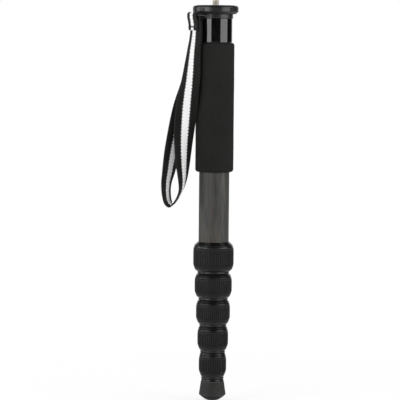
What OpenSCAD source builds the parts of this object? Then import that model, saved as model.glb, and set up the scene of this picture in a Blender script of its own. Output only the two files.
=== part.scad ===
// Six-section camera monopod with twist locks, drawn folded.
// The origin is where the foot meets the ground, on the tube axis, with +Z up the pole.
// The photographed front looks along +Y, and the wrist strap hangs on the -X side.
// Section 1 is the thick one with the grip, section 6 the thin one with the foot.

/* [Tubes] */
// Outside diameter of the top tube
top_tube_d = 28; // [26:0.5:32]
// Drop in outside diameter from each tube to the next
tube_step = 3; // [2.8:0.1:3.4]
// Wall of every tube
tube_wall = 1; // [0.8:0.05:1.1]
// Bare length of the top tube between the first lock and the grip
bare_tube_len = 65; // [30:1:150]
// Free space over the inner tubes when folded
head_room = 4; // [2:0.5:12]

/* [Locks] */
// Height of the top lock, collar and nut together
top_lock_h = 29.2; // [26:0.2:36]
// Height of each lower lock, collar and nut together
lock_h = 24.4; // [22:0.2:32]
// Height of the top lock's collar above its nut
top_collar_h = 5.6; // [4.5:0.1:7]
// Height of each lower collar above its nut
collar_h = 4.4; // [3.6:0.1:6]
// How far the widest part of a lock stands out from its tube
lock_over = 4.8; // [4.2:0.1:6.5]
// Wall of the ribbed sleeve on a lock
sleeve_wall = 1.6; // [1.3:0.1:2]
// Space between one lock and the next when folded
lock_gap = 0.3; // [0.2:0.05:1]
// Distance between the ribs of a lock sleeve, round its widest part
rib_pitch = 1.95; // [1.6:0.05:3]
// Width of the groove between two ribs
rib_groove_w = 0.75; // [0.4:0.05:1]
// Depth of the groove between two ribs
rib_groove_d = 0.5; // [0.2:0.05:0.6]
// Height of the metal lip below a lock sleeve
lip_h = 4; // [3:0.1:5]
// Number of slits in a collet
collet_slits = 6; // [4:1:8]
// Length of the slide bush at the top of each inner tube
bush_len = 18; // [12:1:30]

/* [Foot] */
// Height of the foot, ground to the top of its rim
foot_h = 20.2; // [17:0.1:26]
// Widest diameter of the rubber foot
foot_d = 25; // [23:0.5:34]
// Height of the foot's widest place
foot_wide_h = 5.6; // [5:0.1:9]
// Diameter of the flat patch that meets the ground
foot_flat_d = 6; // [4:0.5:12]
// Height of the foot's metal rim
foot_rim_h = 2; // [1.5:0.1:3]
// Length of the plug inside the lowest tube
plug_len = 25; // [10:1:60]

/* [Grip] */
// Length of the foam grip
grip_len = 119.5; // [80:0.5:160]
// Thickness of the foam
foam_t = 3.75; // [3:0.25:5]
// Rounding of the foam's ends
grip_round = 2.5; // [1:0.1:2.8]

/* [Head] */
// Height of the neck between the grip and the strap ring
neck_h = 22.1; // [18:0.1:40]
// Wall of the neck round the top tube
neck_wall = 1.55; // [1.2:0.05:2.5]
// Height of the strap ring
ring_h = 4.1; // [3.4:0.1:6]
// How far the strap ring stands out from the neck
ring_over = 0.65; // [0.3:0.05:1.5]
// Thickness of the top plate
plate_t = 7.8; // [7:0.1:12]
// Diameter of the top plate
plate_d = 42.3; // [40:0.1:50]
// Number of blind spanner holes in the plate's rim
rim_holes = 5; // [3:1:6]
// Diameter of the spanner holes
rim_hole_d = 3.6; // [2:0.1:4.2]
// Height of the stud's thread above the plate
stud_len = 6.3; // [5:0.1:9]
// Diameter of the stud above the plate, a quarter inch
stud_d = 6.35; // [6:0.05:8]
// Diameter of the stud's body in the plate, three eighths of an inch
stud_body_d = 9.525; // [9:0.025:11]

/* [Strap] */
// Width of the webbing
strap_w = 20; // [12:0.5:24]
// Thickness of the webbing
strap_t = 1.2; // [0.8:0.1:1.3]
// Diameter of the wire bail
bail_wire_d = 1.8; // [1.4:0.1:2]
// How far the bail's bar lies out past the plate's rim
bail_past = 1; // [0.8:0.05:4]

/* [Hidden] */
// Fits: a bonded joint, a sliding tube, a turning thread, two parts that never touch
bond_fit = 0.02;
slide_fit = 0.05;
thread_fit = 0.08;
clear = 0.3;
// How far a cut runs on past the face that it opens
cut = 1;
tubes = 6;
locks = tubes - 1;
$fn = 96;
small_fn = 32;

// Radius of tube i
function tube_r(i) = top_tube_d / 2 - (i - 1) * tube_step / 2;
// Height of lock i, and of the collar that tops it
function lock_height(i) = i == 1 ? top_lock_h : lock_h;
function collar_height(i) = i == 1 ? top_collar_h : collar_h;
// Top of lock i, counted up from the foot
function lock_top(i) = foot_h + (locks - i + 1) * lock_gap + (locks - i) * lock_h + lock_height(i);
function lock_bottom(i) = lock_top(i) - lock_height(i);
// Outside radius of the lip under nut i, which widens a little against its tube down the pole
lip_over = 0.4;
lip_grow = 0.45;
function lip_r(i) = tube_r(i) + lip_over + lip_grow * (i - 1);
// Outside radius of the top edge of collar i, in line with the lip above it
top_edge_over = 0.5;
edge_inset = 0.1;
function collar_top_r(i) = i == 1 ? tube_r(1) + top_edge_over : lip_r(i - 1) - edge_inset;

// Inside a lock: the collar's threaded spigot, the tube's end in it, the collet under the tube
spigot_len = 9.5;
spigot_wall = 1.6;
tube_in_spigot = 6;
collet_shoulder = 1.2;
collet_tip_wall = 1;
mouth_h = 3;
mouth_fit = 0.4;
collet_slit_w = 0.8;
bush_slit_w = 1.2;
function spigot_r(i) = tube_r(i) + spigot_wall;
function nut_bore_r(i) = spigot_r(i) + thread_fit;
function sleeve_r(i) = tube_r(i) + lock_over;
function nut_r(i) = sleeve_r(i) - sleeve_wall - bond_fit;
function spigot_end(i) = lock_top(i) - collar_height(i) - spigot_len;
function tube_end(i) = lock_top(i) - collar_height(i) - tube_in_spigot;
function collet_top(i) = tube_end(i) - bond_fit;
function collet_shoulder_z(i) = spigot_end(i) - bond_fit;
function collet_tip_z(i) = lock_bottom(i) + mouth_h + thread_fit;
function nut_top(i) = lock_top(i) - collar_height(i) - clear;
function sleeve_bottom(i) = lock_bottom(i) + lip_h;

// The collar's outline: a bevel down to a groove, then a cone that ends just inside the sleeve
bevel_h = 2;
// Share of the flare that the bevel takes, on the top lock and on the others
top_bevel = 0.5;
low_bevel = 0.75;
function bevel_share(i) = i == 1 ? top_bevel : low_bevel;
collar_groove = 0.6;
collar_inset = 0.65;
// The lip's outline: a short band under the sleeve, a taper, a groove and a ring round the mouth
lip_step = 1.3;
lip_taper = 0.7;
lip_band_h = 0.4;
lip_groove_h = 0.9;
lip_groove_in = 0.2;
lip_ring_h = 1.4;
lip_ring_over = 0.4;
lip_edge = 0.3;
// The sleeve's outline: a broken top edge, a slight crown, an arc in below
sleeve_break_w = 0.55;
sleeve_break_h = 0.6;
crown_w = 0.2;
crown_h = 3.4;
sleeve_round_w = 1.2;
sleeve_round_h = 4.2;
// Plain bands of the sleeve over and under its ribs
rib_top_band = 1.3;
rib_low_band = 2.6;
// Angle between the points of an outline's arc
arc_step = 15;

// Heights up the pole
grip_bottom = lock_top(1) + bare_tube_len;
grip_top = grip_bottom + grip_len;
neck_bottom = grip_top + clear / 2;
neck_top = neck_bottom + neck_h;
plate_bottom = neck_top + ring_h;
plate_top = plate_bottom + plate_t;

// The foam's end rounding leaves part of its wall flat
foam_flat = 0.3;
foam_round = min(grip_round, foam_t * (1 - foam_flat));

// The foot: a stem a little thinner than the lowest tube, a button on it, a rim over the rubber
stem_inset = 0.5;
stem_r = tube_r(tubes) - stem_inset;
button_over = 2.5;
button_r = stem_r + button_over;
button_h = 5;
stem_len = 7.2;
button_floor = foot_h - foot_rim_h - stem_len - button_h;
foot_rim_over = 0.4;
foot_top_over = 0.2;
foot_top_round = 0.6;
sole_steps = 12;
sole_curve = 1.7;
foot_rim_top_r = lip_r(locks) - edge_inset;

// The head: a threaded spigot under the plate passes the ring and screws into the hub
neck_r = tube_r(1) + neck_wall;
ring_r = neck_r + ring_over;
plate_spigot_d = 22;
plate_spigot_depth = 3.2;
hub_floor = 3;
plate_spigot_end = neck_top - plate_spigot_depth;
tube_1_top = plate_spigot_end - clear - hub_floor;
inner_top = tube_1_top - head_room;
plate_top_round = 2.3;
plate_chamfer_h = 2.3;
plate_chamfer_w = 2.7;
rim_hole_depth = 3;
rim_hole_start = -30;
pad_margin = 1.35;
pad_outer_r = plate_d / 2 - plate_top_round - pad_margin;
pad_inner_r = 7;
pad_sink = 0.9;
pad_proud = 0.3;
stud_tip = 0.6;
stud_sink = 0.3;
edge_break = 0.4;

// The bail: two wire legs in the ring and a bar between them, tilted up a little
bail_turn = 23;
bail_tilt = 5;
bail_grip = 4;
bail_side_clear = 0.5;
bail_reach = plate_d / 2 + bail_past;
bail_side = strap_w / 2 + bail_side_clear + bail_wire_d / 2;
bail_root = sqrt(ring_r * ring_r - bail_side * bail_side);
bail_leg = (bail_reach - bail_root) / cos(bail_tilt);
bail_z = neck_top + ring_h / 2;
bar_z = bail_z + (bail_reach - bail_root) * tan(bail_tilt);
// Direction from the pole out to the bar
bail_out = [-cos(bail_turn), -sin(bail_turn)];

// The strap: lanes beside the bar, and route points as [x, y, z from the bar's middle, turn].
// Turn is the angle of the width in plan: 0 faces the front, 67 lies along the bar.
strap_lane = bail_wire_d / 2 + clear + strap_t / 2;
strap_slack = 0.5;
fold_steps = 6;
strap_fine = 2;
// The sewn tail outside the bar as [share of the lane, height], and the back leg's end inside
strap_tail = [[0.15, -14], [0.15, -10], [0.5, -6], [0.9, -3], [1, -1]];
inner_lane = strap_lane + strap_t + clear;
inner_end = 5;
strap_front = [
    [1.7, 0.2, -14, 65], [1.3, 0.2, -24, 60], [0.3, 0.6, -33, 55], [-0.6, 0.1, -42, 49],
    [-2.5, -1.2, -61, 34], [-4.3, -1.7, -79, 16], [-6.2, -0.8, -98, -10], [-8.2, 0.2, -117, -30],
    [-9.4, 1, -135, -47], [-9.6, 1.6, -149, -62], [-10.6, 2, -161, -76], [-12.6, 2.3, -169, -82],
    [-16, 2.5, -175, -80], [-19.4, 2.7, -177.4, -76], [-22.4, 2.9, -174.4, -72]
];
strap_back = [
    [-23.8, 3.1, -168, -69], [-24.2, 3.3, -161, -66], [-23.6, 3.5, -153, -61], [-21.8, 3.6, -144, -54],
    [-18.6, 3.8, -126, -43], [-14.4, 3.7, -107, -28], [-10, 3.5, -89, -7], [-5.2, 3.4, -70, 24],
    [-0.8, 1.9, -53, 41], [1.1, 2, -39, 51], [2.8, 1.1, -24, 60], [3.1, 0.9, -14, 65]
];
// How far the middle of the width bulges out, and the heights where that grows and fades
strap_cup = 1.2;
cup_start = 6;
cup_grow = 20;
cup_end = 165;
cup_fade = 40;

// A plain pipe between two heights
module pipe(outer, inner, low, high) {
    difference() {
        translate([0, 0, low]) cylinder(r = outer, h = high - low);
        translate([0, 0, low - cut]) cylinder(r = inner, h = high - low + 2 * cut);
    }
}

// Stud: a quarter-inch end above the plate, a three-eighths body in it
module camera_stud() {
    shoulder = plate_top - stud_sink;
    body_r = stud_body_d / 2;
    color("#b9a56f") rotate_extrude() polygon([
        [0, plate_spigot_end], [body_r - edge_break, plate_spigot_end],
        [body_r, plate_spigot_end + edge_break], [body_r, shoulder],
        [stud_d / 2, shoulder], [stud_d / 2, plate_top + stud_len - stud_tip],
        [stud_d / 2 - stud_tip, plate_top + stud_len], [0, plate_top + stud_len]
    ]);
}

// Rubber ring let into the plate's top face
module plate_pad() {
    color("#26262a") pipe(pad_outer_r, pad_inner_r, plate_top - pad_sink + bond_fit, plate_top + pad_proud);
}

// Outline of the plate: rounded above, chamfered below, with the spigot under it
module plate_profile() {
    rim = plate_d / 2;
    round_z = plate_top - plate_top_round;
    translate([rim - plate_top_round, round_z]) circle(r = plate_top_round);
    translate([0, round_z]) square([rim - plate_top_round, plate_top_round]);
    polygon([
        [0, plate_bottom], [rim - plate_chamfer_w, plate_bottom], [rim, plate_bottom + plate_chamfer_h],
        [rim, round_z], [0, round_z]
    ]);
    translate([0, plate_spigot_end])
        square([plate_spigot_d / 2, plate_bottom - plate_spigot_end + plate_chamfer_h]);
}

// Plate with a recess for the pad, a hole for the stud and blind holes round its rim
module top_plate() {
    bore = stud_body_d / 2 + bond_fit;
    color("#4a4b4f") difference() {
        rotate_extrude() plate_profile();
        translate([0, 0, plate_spigot_end - cut])
            cylinder(r = bore, h = plate_top - plate_spigot_end + 2 * cut);
        pipe(pad_outer_r + bond_fit, pad_inner_r - bond_fit, plate_top - pad_sink, plate_top + cut);
        for (k = [0 : rim_holes - 1])
            rotate(rim_hole_start - 90 + k * 360 / rim_holes)
                translate([plate_d / 2 - rim_hole_depth, 0, plate_bottom + plate_t / 2])
                    rotate([0, 90, 0])
                        cylinder(d = rim_hole_d, h = rim_hole_depth + cut, $fn = small_fn);
    }
}

// Places a child where the bail leaves the ring: X outwards and tilted up, Y along the bar
module on_bail() {
    translate([0, 0, bail_z])
        rotate(180 + bail_turn)
            translate([bail_root, 0, 0])
                rotate([0, -bail_tilt, 0])
                    children();
}

// Ring that the plate clamps on the neck, with two holes for the bail's legs
module strap_ring() {
    bore = plate_spigot_d / 2 + bond_fit;
    color("#44454a") difference() {
        rotate_extrude() polygon([
            [bore, neck_top], [ring_r - edge_break, neck_top], [ring_r, neck_top + edge_break],
            [ring_r, plate_bottom - edge_break], [ring_r - edge_break, plate_bottom], [bore, plate_bottom]
        ]);
        on_bail()
            for (side = [-1, 1])
                translate([-bail_grip, side * bail_side, 0])
                    rotate([0, 90, 0])
                        cylinder(d = bail_wire_d + 2 * bond_fit, h = 2 * bail_grip, $fn = small_fn);
    }
}

// Wire bail: two legs, the bar, and round corners
module strap_bail() {
    color("#44454a") on_bail() {
        for (side = [-1, 1]) {
            translate([-bail_grip + bond_fit, side * bail_side, 0])
                rotate([0, 90, 0])
                    cylinder(d = bail_wire_d, h = bail_grip + bail_leg - bond_fit, $fn = small_fn);
            translate([bail_leg, side * bail_side, 0]) sphere(d = bail_wire_d, $fn = small_fn);
        }
        translate([bail_leg, -bail_side, 0])
            rotate([-90, 0, 0])
                cylinder(d = bail_wire_d, h = 2 * bail_side, $fn = small_fn);
    }
}

// A strap point beside the bar: distance out from the bar, height over it
function beside_bar(out, up) = [bail_out[0] * out, bail_out[1] * out, up, 90 - bail_turn];
// The fold over the bar, from the tail's lower end round to the front leg
strap_fold = concat(
    [for (t = strap_tail) beside_bar(strap_lane * t[0], t[1])],
    [for (k = [0 : fold_steps])
        let (a = 180 * k / fold_steps)
            beside_bar(strap_lane * cos(a), strap_slack + strap_lane * sin(a))],
    [for (up = [-1, -5]) beside_bar(-strap_lane, up)]
);
strap_route = concat(strap_fold, strap_front, strap_back, [beside_bar(-inner_lane, -inner_end)]);

// Smooth curve through the route's points, with extra points in each stretch
function route_at(i) = strap_route[max(0, min(len(strap_route) - 1, i))];
function between(i, t) =
    let (a = route_at(i - 1), b = route_at(i), c = route_at(i + 1), d = route_at(i + 2))
        b + t / 2 * (c - a + t * (2 * a - 5 * b + 4 * c - d + t * (3 * b - 3 * c + d - a)));
strap_line = concat(
    [for (i = [0 : len(strap_route) - 2]) for (k = [0 : strap_fine - 1]) between(i, k / strap_fine)],
    [strap_route[len(strap_route) - 1]]
);

// Six points of the webbing's section at point i, square to the way it runs
section_points = 6;
bar_middle = [bail_out[0] * bail_reach, bail_out[1] * bail_reach, bar_z];
function line_at(i) = strap_line[max(0, min(len(strap_line) - 1, i))];
function place(p) = bar_middle + [p[0], p[1], p[2]];
function unit(v) = v / norm(v);
function bulge(p) =
    strap_cup * max(0, min(1, (-p[2] - cup_start) / cup_grow, (p[2] + cup_end) / cup_fade));
function strap_section(i) =
    let (p = line_at(i),
         along = unit(place(line_at(i + 1)) - place(line_at(i - 1))),
         plan = [cos(p[3]), -sin(p[3]), 0],
         across = unit(plan - (plan * along) * along) * strap_w / 2,
         out = cross(along, unit(across)) * strap_t / 2,
         middle = cross(unit(across), [0, 0, 1]) * bulge(p))
        concat(
            [for (side = [-1, 0, 1]) place(p) + side * across + (1 - abs(side)) * middle - out],
            [for (side = [1, 0, -1]) place(p) + side * across + (1 - abs(side)) * middle + out]
        );

// Webbing swept along the route as one closed skin.
// Its two faces split each patch along the same diagonal, so a twist keeps its thickness.
module wrist_strap() {
    n = section_points;
    rings = len(strap_line);
    points = [for (i = [0 : rings - 1]) each strap_section(i)];
    sides = [for (i = [0 : rings - 2]) for (k = [0 : n - 1])
        let (a = n * i + k, b = n * i + (k + 1) % n)
            each k < n / 2 ? [[a, a + n, b], [b, a + n, b + n]] : [[a, a + n, b + n], [a, b + n, b]]];
    last = n * (rings - 1);
    first_end = [for (k = [2 : n - 1]) [1, k, (k + 1) % n]];
    last_end = [for (k = [2 : n - 1]) [last + 1, last + (k + 1) % n, last + k]];
    color("#202022") polyhedron(points, concat(sides, first_end, last_end));
}

// Neck: a cap over the top tube, threaded above for the plate's spigot
module neck_hub() {
    color("#131315") difference() {
        rotate_extrude() polygon([
            [0, neck_bottom], [neck_r - edge_break, neck_bottom], [neck_r, neck_bottom + edge_break],
            [neck_r, neck_top - edge_break], [neck_r - edge_break, neck_top], [0, neck_top]
        ]);
        translate([0, 0, neck_bottom - cut])
            cylinder(r = tube_r(1) + bond_fit, h = tube_1_top + bond_fit - neck_bottom + cut);
        translate([0, 0, plate_spigot_end - clear])
            cylinder(r = plate_spigot_d / 2 + bond_fit, h = plate_spigot_depth + clear + cut);
    }
}

// Foam sleeve with rounded ends
module foam_grip() {
    bore = tube_r(1) + slide_fit;
    outer = tube_r(1) + foam_t;
    color("#262625") rotate_extrude() difference() {
        union() {
            translate([0, grip_bottom + foam_round]) square([outer, grip_len - 2 * foam_round]);
            translate([0, grip_bottom]) square([outer - foam_round, grip_len]);
            translate([outer - foam_round, grip_bottom + foam_round]) circle(r = foam_round);
            translate([outer - foam_round, grip_top - foam_round]) circle(r = foam_round);
        }
        translate([0, grip_bottom - cut]) square([bore, grip_len + 2 * cut]);
    }
}

// Carbon tube i: the first ends under the neck's floor, the lowest stands on the foot
module tube(i) {
    low = i == tubes ? foot_h + bond_fit : tube_end(i);
    high = i == 1 ? tube_1_top : inner_top;
    color("#47453f") pipe(tube_r(i), tube_r(i) - tube_wall, low, high);
}

// Collar i: bevel, groove and cone over a threaded spigot
module lock_collar(i) {
    top = lock_top(i);
    base = top - collar_height(i);
    bore = tube_r(i) + bond_fit;
    edge = collar_top_r(i);
    rim = sleeve_r(i) - collar_inset;
    groove_z = top - bevel_h;
    groove_r = edge + (rim - edge) * bevel_share(i);
    color("#121214") rotate_extrude() polygon([
        [bore, top], [edge, top],
        [groove_r, groove_z + collar_groove / 2], [groove_r - collar_groove, groove_z],
        [groove_r, groove_z - collar_groove / 2], [rim, base + collar_groove], [rim, base],
        [spigot_r(i), base], [spigot_r(i), spigot_end(i)], [bore, spigot_end(i)]
    ]);
}

// Nut i: threaded above, a cone that squeezes the collet, a mouth that the next tube runs through
module lock_nut(i) {
    low = lock_bottom(i);
    bore = nut_bore_r(i);
    mouth = tube_r(i + 1) + mouth_fit;
    cone_top = tube_r(i) + collet_shoulder + thread_fit;
    cone_tip = tube_r(i + 1) + slide_fit + collet_tip_wall + thread_fit;
    band_r = sleeve_r(i) - lip_step;
    groove_r = lip_r(i) - lip_groove_in;
    ring_edge_r = lip_r(i) + lip_ring_over;
    groove_top = low + lip_ring_h + lip_groove_h;
    color("#161618") rotate_extrude() polygon([
        [bore, nut_top(i)], [nut_r(i), nut_top(i)], [nut_r(i), sleeve_bottom(i)],
        [band_r, sleeve_bottom(i)], [band_r, sleeve_bottom(i) - lip_band_h],
        [band_r - lip_taper, groove_top], [groove_r, groove_top], [groove_r, low + lip_ring_h],
        [ring_edge_r, low + lip_ring_h], [ring_edge_r, low + lip_edge], [lip_r(i), low],
        [mouth, low], [mouth, low + mouth_h],
        [cone_tip, low + mouth_h], [cone_top, collet_shoulder_z(i)], [bore, collet_shoulder_z(i)]
    ]);
}

// Outline of a lock sleeve
module sleeve_profile(i) {
    bore = nut_r(i) + bond_fit;
    outer = sleeve_r(i);
    high = nut_top(i);
    low = sleeve_bottom(i) + bond_fit;
    arc = [for (a = [0 : arc_step : 90])
        [outer - sleeve_round_w * (1 - cos(a)), low + sleeve_round_h * (1 - sin(a))]];
    polygon(concat(
        [[bore, low], [bore, high], [outer - sleeve_break_w, high],
         [outer - crown_w, high - sleeve_break_h], [outer, high - crown_h]],
        arc
    ));
}

// Ribbed rubber sleeve on nut i
module nut_grip(i) {
    outer = sleeve_r(i);
    ribs = round(2 * PI * outer / rib_pitch);
    low = sleeve_bottom(i) + rib_low_band;
    high = nut_top(i) - rib_top_band;
    color("#242423") difference() {
        rotate_extrude() sleeve_profile(i);
        for (k = [0 : ribs - 1])
            rotate(k * 360 / ribs)
                translate([outer - rib_groove_d, -rib_groove_w / 2, low])
                    cube([rib_groove_d + cut, rib_groove_w, high - low]);
    }
}

// Split collet i: a ring under the tube's end, a shoulder and slit fingers that taper
module collet(i) {
    bore = tube_r(i + 1) + slide_fit;
    collet_ring_r = tube_r(i) - slide_fit;
    shoulder = collet_shoulder_z(i);
    tip = collet_tip_z(i);
    color("#d8d6cf") difference() {
        rotate_extrude() polygon([
            [bore, collet_top(i)], [collet_ring_r, collet_top(i)], [collet_ring_r, shoulder],
            [tube_r(i) + collet_shoulder, shoulder], [bore + collet_tip_wall, tip], [bore, tip]
        ]);
        for (k = [0 : collet_slits - 1])
            rotate(k * 360 / collet_slits)
                translate([0, -collet_slit_w / 2, tip - cut])
                    cube([2 * tube_r(i), collet_slit_w, shoulder - tip + 2 * cut]);
    }
}

// Two half shells bonded on the upper end of tube i, which run in the tube above
module slide_bush(i) {
    outer = tube_r(i - 1) - tube_wall - slide_fit;
    color("#e2e0da") difference() {
        pipe(outer, tube_r(i) + bond_fit, inner_top - bush_len, inner_top);
        translate([-2 * outer, -bush_slit_w / 2, inner_top - bush_len - cut])
            cube([4 * outer, bush_slit_w, bush_len + 2 * cut]);
    }
}

// Foot plug: spigot in the lowest tube, the rim, and a button that holds the rubber
module foot_plug() {
    spigot = tube_r(tubes) - tube_wall - bond_fit;
    rim_low = foot_h - foot_rim_h;
    rim_r = foot_rim_top_r + foot_rim_over;
    button_top = button_floor + button_h;
    plug_top = foot_h + plug_len;
    color("#1b1b1d") rotate_extrude() polygon([
        [0, button_floor], [button_r - edge_break, button_floor], [button_r, button_floor + edge_break],
        [button_r, button_top], [stem_r, button_top], [stem_r, rim_low],
        [rim_r - edge_break, rim_low], [rim_r, rim_low + edge_break], [foot_rim_top_r, foot_h],
        [spigot, foot_h], [spigot, plug_top - edge_break], [spigot - edge_break, plug_top], [0, plug_top]
    ]);
}

// Rubber foot: a domed sole with a flat middle, sides that draw in, a socket for the button
module rubber_foot() {
    top = foot_h - foot_rim_h - bond_fit;
    top_r = foot_rim_top_r + foot_rim_over + foot_top_over;
    flat = foot_flat_d / 2;
    sole = [for (k = [0 : sole_steps])
        [flat + (foot_d / 2 - flat) * k / sole_steps, foot_wide_h * pow(k / sole_steps, sole_curve)]];
    color("#2e2e2d") difference() {
        rotate_extrude() polygon(concat(
            [[0, 0]],
            sole,
            [[top_r, top - foot_top_round], [top_r - foot_top_round, top], [0, top]]
        ));
        translate([0, 0, button_floor - bond_fit])
            cylinder(r = button_r + bond_fit, h = button_h + 2 * bond_fit);
        translate([0, 0, button_floor]) cylinder(r = stem_r + bond_fit, h = top);
    }
}

camera_stud();
plate_pad();
top_plate();
strap_ring();
strap_bail();
wrist_strap();
neck_hub();
foam_grip();
for (i = [1 : tubes]) tube(i);
for (i = [1 : locks]) lock_collar(i);
for (i = [1 : locks]) lock_nut(i);
for (i = [1 : locks]) nut_grip(i);
for (i = [1 : locks]) collet(i);
for (i = [2 : tubes]) slide_bush(i);
foot_plug();
rubber_foot();
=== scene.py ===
# %% [markdown]
# # A folded camera monopod
# The pole has six nested carbon tubes, five twist locks, a foam grip and a round head with a
# camera stud. The CAD part comes in first as a fixed frame, and everything below is dressed
# around it, in metres, on the same axes: +Z up the pole, the photographed front along +Y.

# %% Load the frame
import math

import bmesh
import bpy
import numpy as np
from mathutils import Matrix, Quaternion, Vector


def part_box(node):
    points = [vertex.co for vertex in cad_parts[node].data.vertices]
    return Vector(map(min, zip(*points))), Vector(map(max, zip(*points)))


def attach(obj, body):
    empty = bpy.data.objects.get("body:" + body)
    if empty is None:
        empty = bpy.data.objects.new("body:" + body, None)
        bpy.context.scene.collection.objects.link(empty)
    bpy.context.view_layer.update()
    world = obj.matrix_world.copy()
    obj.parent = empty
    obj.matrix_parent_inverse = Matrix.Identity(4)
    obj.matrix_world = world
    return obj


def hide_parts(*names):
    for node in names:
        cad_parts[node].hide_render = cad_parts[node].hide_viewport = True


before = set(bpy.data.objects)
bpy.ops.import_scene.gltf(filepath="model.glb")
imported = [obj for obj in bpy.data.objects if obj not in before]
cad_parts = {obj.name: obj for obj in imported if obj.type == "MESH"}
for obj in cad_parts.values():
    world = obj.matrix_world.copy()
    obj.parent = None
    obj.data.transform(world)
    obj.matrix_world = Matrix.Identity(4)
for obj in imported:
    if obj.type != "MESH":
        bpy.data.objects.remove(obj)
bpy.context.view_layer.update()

MM = 0.001
LOCKS, TUBES = range(1, 6), range(1, 7)
scene = bpy.context.scene
scene.view_settings.view_transform = "Standard"

# %% [markdown]
# ## Sizes
# What the CAD part fixes is read from its boxes, so each dressed piece ends where its solid
# does. Pieces are sized in millimetres, and the camera and the lamps stand in metres.

# %% Sizes from the frame
boxes = {node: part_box(node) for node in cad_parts}


def high(node):
    """Top of a CAD node in millimetres."""
    return round(boxes[node][1].z / MM, 3)


def low(node):
    """Bottom of a CAD node in millimetres."""
    return round(boxes[node][0].z / MM, 3)


def wide(node):
    """Outside radius of a CAD node in millimetres."""
    return round(boxes[node][1].x / MM, 2)


def tube_r(i):
    """Outside radius of tube i in millimetres."""
    return wide(f"tube_{i}")


print("folded length in mm:", high("camera_stud"))

# %% [markdown]
# ## Camera
# The photograph shows the pole upright from the front. Its rings are level at the top of the
# grip and dip more and more towards the foot, so the lens is as high as the grip's top and a
# little over two metres away. The pole leans half a degree, which is a roll of the camera.

# %% Camera
PHOTO_SIDE = 400
PIXEL = 0.929 * MM
POLE_PIXEL = 213.97
FRAME_MIDDLE_Z = 0.1871
LENS_HEIGHT = 0.333
LENS_DISTANCE = 2.1
POLE_LEAN = math.radians(0.5)
ROLL_AXIS = Vector((0, 0, 1))

aim = Vector(((PHOTO_SIDE / 2 - POLE_PIXEL) * PIXEL, 0, FRAME_MIDDLE_Z))
eye = Vector((aim.x, -LENS_DISTANCE, LENS_HEIGHT))
camera_data = bpy.data.cameras.new("front_camera")
camera_data.lens = camera_data.sensor_width * (aim - eye).length / (PHOTO_SIDE * PIXEL)
camera = bpy.data.objects.new("front_camera", camera_data)
camera.location = eye
camera.rotation_mode = "QUATERNION"
camera.rotation_quaternion = (aim - eye).to_track_quat("-Z", "Y") @ Quaternion(ROLL_AXIS, POLE_LEAN)
scene.collection.objects.link(camera)
scene.camera = camera
bpy.context.view_layer.update()


def pixel_of(point):
    """Where a point of the frame falls in the photograph, in pixels from its top left corner."""
    seen = camera.matrix_world.inverted() @ Vector(point)
    reach = PHOTO_SIDE * camera_data.lens / camera_data.sensor_width / -seen.z
    return round(PHOTO_SIDE / 2 + seen.x * reach, 1), round(PHOTO_SIDE / 2 - seen.y * reach, 1)


for node in ("rubber_foot", "lock_collar_1", "foam_grip", "top_plate"):
    print("top of", node, "at pixel", pixel_of((0, 0, high(node) * MM)))

# %% [markdown]
# ## Shapes that are turned on a lathe
# Almost every piece of a monopod is round about its axis. A real turned or moulded edge is
# never sharp, and its small radius is what catches the light. So each outline is given as a
# few (radius, height) points in millimetres, every corner gets an arc, and the result is spun.
# A point beside each arc keeps the flats flat when the faces are shaded smooth.

# %% Softened outline
ARC_STEPS, ARC_SHARE = 4, 0.4
EDGE_SUPPORT, SUPPORT_SHARE = 0.12, 0.3
NEARLY_STRAIGHT = math.radians(168)


def soften(outline, radius):
    """Rounds the corners of a closed outline, and returns each point with 1 if it lies on an arc, or 0."""
    made = []
    corners = [Vector(p) for p in outline]
    for before, corner, after in zip(corners[-1:] + corners[:-1], corners, corners[1:] + corners[:1]):
        to_before, to_after = before - corner, after - corner
        inside = to_before.angle(to_after)
        if corner.x == 0 or inside > NEARLY_STRAIGHT:
            made.append((corner, 0))
            continue
        room = ARC_SHARE * min(to_before.length, to_after.length)
        reach = min(radius / math.tan(inside / 2), room)
        start = corner + to_before.normalized() * reach
        end = corner + to_after.normalized() * reach
        support = min(EDGE_SUPPORT, SUPPORT_SHARE * room)
        made.append((start + to_before.normalized() * support, 0))
        for step in range(ARC_STEPS + 1):
            t = step / ARC_STEPS
            made.append(((1 - t) ** 2 * start + 2 * t * (1 - t) * corner + t * t * end, 1))
        made.append((end + to_after.normalized() * support, 0))
    return made


print("points on a softened square:", len(soften([(1, 0), (2, 0), (2, 1), (1, 1)], EDGE_SUPPORT)))

# %% Lathe
SEGMENTS = 128
SAME_POINT = 1e-7


def finish_mesh(name, bm, material, smooth_to=40):
    """Closes a bmesh into an object: one skin, faces outwards, smooth up to an angle in degrees."""
    bmesh.ops.remove_doubles(bm, verts=bm.verts, dist=SAME_POINT)
    bmesh.ops.recalc_face_normals(bm, faces=bm.faces)
    mesh = bpy.data.meshes.new(name)
    bm.to_mesh(mesh)
    bm.free()
    mesh.shade_smooth()
    mesh.set_sharp_from_angle(angle=math.radians(smooth_to))
    mesh.materials.append(material)
    piece = bpy.data.objects.new(name, mesh)
    scene.collection.objects.link(piece)
    return piece


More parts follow.
